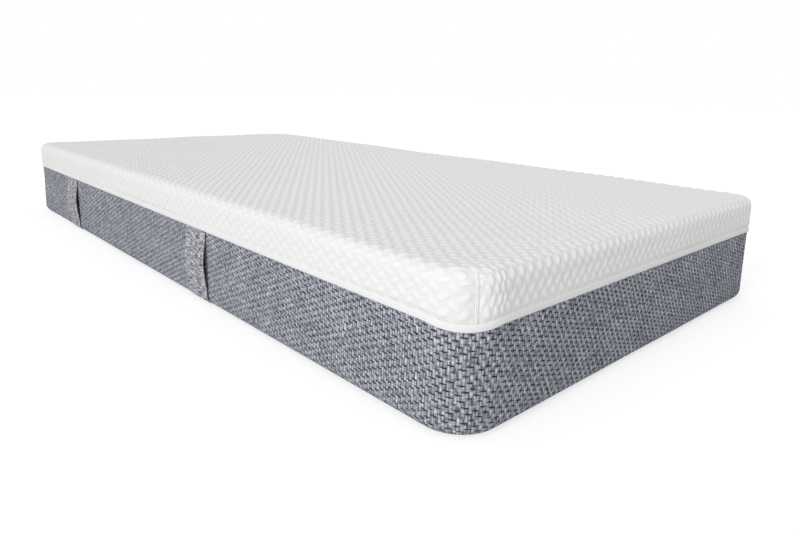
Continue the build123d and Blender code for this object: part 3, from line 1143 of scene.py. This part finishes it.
def strap_half(name, side, middle_y, wide, rows, finish):
    """One half of a strap as a closed flat tube of cloth, with sharp edges at its ends."""
    count = len(rows)
    half = wide / 2
    inner = np.linspace(-half + STRAP_ROUND, half - STRAP_ROUND, STRAP_COLUMNS)
    back, front = STRAP_SIDE
    ring = np.array([(-half, back)] + [(y, 0.0) for y in inner] + [(half, back), (half, front)]
                    + [(y, 1.0) for y in inner[::-1]] + [(-half, front)])
    points = np.zeros((count, len(ring), 3))
    rows = np.array(rows)
    slope = np.gradient(rows, axis=0)
    slope /= np.linalg.norm(slope, axis=1)[:, None]
    outward = np.stack([slope[:, 1], -slope[:, 0]], 1)
    thicker = STRAP_THINNEST + (1 - STRAP_THINNEST) * rows[:, 1] / (2 * BOTTOM_RADIUS)
    thick = STRAP_THICK * np.clip(thicker, STRAP_THINNEST, 1.0)
    for n in range(len(ring)):
        lift = rows + outward * (ring[n, 1] * thick)[:, None]
        points[:, n, 0] = side * (HALF_WIDTH + lift[:, 0])
        points[:, n, 1] = middle_y + ring[n, 0]
        points[:, n, 2] = lift[:, 1]
    faces, flat = quad_grid(count, len(ring), wrap=True)
    cloth = cloth_grid(np.append(ring[:, 0], ring[0, 0]) + half, run_along(rows) + rows[0, 1])
    near, far = np.arange(STRAP_COLUMNS + 1), len(ring) - 1 - np.arange(STRAP_COLUMNS + 1)
    cap = np.stack([near, far, far - 1, near + 1], 1)
    last = (count - 1) * len(ring)
    faces = np.concatenate([faces, cap, last + cap[:, ::-1]])
    flat = np.concatenate([flat, cap, last + count - 1 + cap[:, ::-1]])
    if side > 0:
        faces, flat = faces[:, ::-1], flat[:, ::-1]
    made = cloth_object(name, points, faces, cloth[flat], finish)
    ends = (set(range(len(ring))), set(range(last, last + len(ring))))
    for edge in made.data.edges:
        if any(set(edge.vertices) <= end for end in ends):
            edge.use_edge_sharp = True
    return made


print("strap thickness in millimetres, free and tucked under:", 1000 * STRAP_THICK,
      round(1000 * STRAP_THICK * STRAP_THINNEST, 2))

# %% [markdown]
# Light zigzag stitching holds the two long edges of each strap. It could be a stripe of colour, but thread
# stands up from the webbing and catches the light, so each stitch is a short rod of its own. Each half of the
# strap has its own rows of stitches.

# %% Carrying straps
STITCH_STEP = 0.0045
STITCH_EDGE = 0.0012
STITCH_WIDE = 0.0045
STITCH_MARGIN = 0.002
THREAD_RADIUS = 0.0006
THREAD_SINK = 0.2
SIDES = (("left", -1), ("right", 1))
ENDS = (("foot", -1), ("head", 1))


def zigzag_row(name, side, edge_y, inward, rows):
    """A zigzag of thread along one edge of a strap half, as a chain of short six-sided rods."""
    rows = np.array(rows)
    run = run_along(rows)
    stops = np.arange(STITCH_MARGIN, run[-1] - STITCH_MARGIN, STITCH_STEP)
    stops = stops[np.interp(stops, run, rows[:, 1]) > 2 * BOTTOM_RADIUS]
    off = np.interp(stops, run, rows[:, 0]) + STRAP_THICK - THREAD_SINK * THREAD_RADIUS
    height = np.interp(stops, run, rows[:, 1])
    sway = np.where(np.arange(len(stops)) % 2 == 0, STITCH_EDGE, STITCH_WIDE)
    line = np.stack([side * (HALF_WIDTH + off), edge_y + inward * sway, height], 1)
    up = Vector((side, 0, 0))
    stitches = []
    for start, end in zip(line[:-1], line[1:]):
        sideways = Vector(end - start).normalized().cross(up).normalized()
        ring = [(sideways * math.cos(a) + up * math.sin(a)) * THREAD_RADIUS for a in SIX_TURNS]
        stitches.append([Vector(place) + step for place in (start, end) for step in ring])
    return rod_object(name, stitches, thread)


def carrying_strap(node, side):
    """One strap in two halves, each with its stitching."""
    low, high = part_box(node)
    middle_y, wide = (low.y + high.y) / 2, high.y - low.y
    gap = (high.x - low.x) - STRAP_THICK
    line = [strap_line(low.z, high.z, gap, s) for s in np.linspace(0, 1, 2 * STRAP_ROWS + 1)]
    centre_z = (low.z + high.z) / 2
    split = min(range(len(line)), key=lambda n: abs(line[n][1] - centre_z))
    halves = (("lower", line[:split + 1], low.z + STRAP_END / 2),
              ("upper", line[split:], high.z - STRAP_END / 2))
    for half_name, rows, sewn_z in halves:
        piece = strap_half(f"{node}_{half_name}", side, middle_y, wide, rows, webbing)
        bent = [piece]
        for edge_name, inward in (("near", 1), ("far", -1)):
            edge_y = middle_y - inward * wide / 2
            bent.append(zigzag_row(f"{node}_{half_name}_{edge_name}_stitch", side, edge_y, inward, rows))
        for cloth_piece in bent:
            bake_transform(cloth_piece)
        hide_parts(node)


for side_name, side in SIDES:
    for end_name, _ in ENDS:
        carrying_strap(f"{side_name}_{end_name}_strap", side)

# %% [markdown]
# Each corner of the cover closes in an upright seam. Two soft lips stand a little proud where the cut edges
# are sewn together, and they run out over the top edge. A groove in the knit could hint at the seam, but the
# light on the two lips is what makes it look sewn.

# %% Corner seams
LIP_RADIUS = 0.0012
LIP_SINK = 0.0004
LIP_TOP_SINK = 0.001
LIP_APART = 0.9 * LIP_RADIUS
LIP_BEND_STEP = 15


def corner_seam(name, sign_x, sign_y):
    """Two thin lips side by side, up a corner of the cover and over its top edge."""
    centre = Vector((sign_x * (cover_half[0] - COVER_CORNER), sign_y * (cover_half[1] - COVER_CORNER), 0))
    angle = math.pi / 4 + SEAM_TURN
    outward = Vector((sign_x * math.cos(angle), sign_y * math.sin(angle), 0))
    sideways = Vector((-outward.y, outward.x, 0))
    up = Vector((0, 0, 1))
    shoulder, bend_radius = cover_high.z - LIP_TOP_SINK - COVER_EDGE, COVER_EDGE - LIP_SINK
    path = [(cover_low.z - HEM_DIP, 0)]
    path += [(shoulder, math.radians(a)) for a in range(0, 91, LIP_BEND_STEP)]
    lips = []
    for shift in (-LIP_APART, LIP_APART):
        lip = []
        for base_z, bend in path:
            stand = outward * math.cos(bend) + up * math.sin(bend)
            middle = centre + outward * (COVER_CORNER - COVER_EDGE) + up * base_z + stand * bend_radius
            for a in SIX_TURNS:
                ring = stand * math.cos(a) * LIP_RADIUS + sideways * (shift + math.sin(a) * LIP_RADIUS)
                lip.append(middle + ring)
        lips.append(lip)
    seam = rod_object(name, lips, white_tape)
    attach(seam, "cover")


for end_name, sign_y in ENDS:
    for side_name, sign_x in SIDES:
        corner_seam(f"{side_name}_{end_name}_corner_seam", sign_x, sign_y)
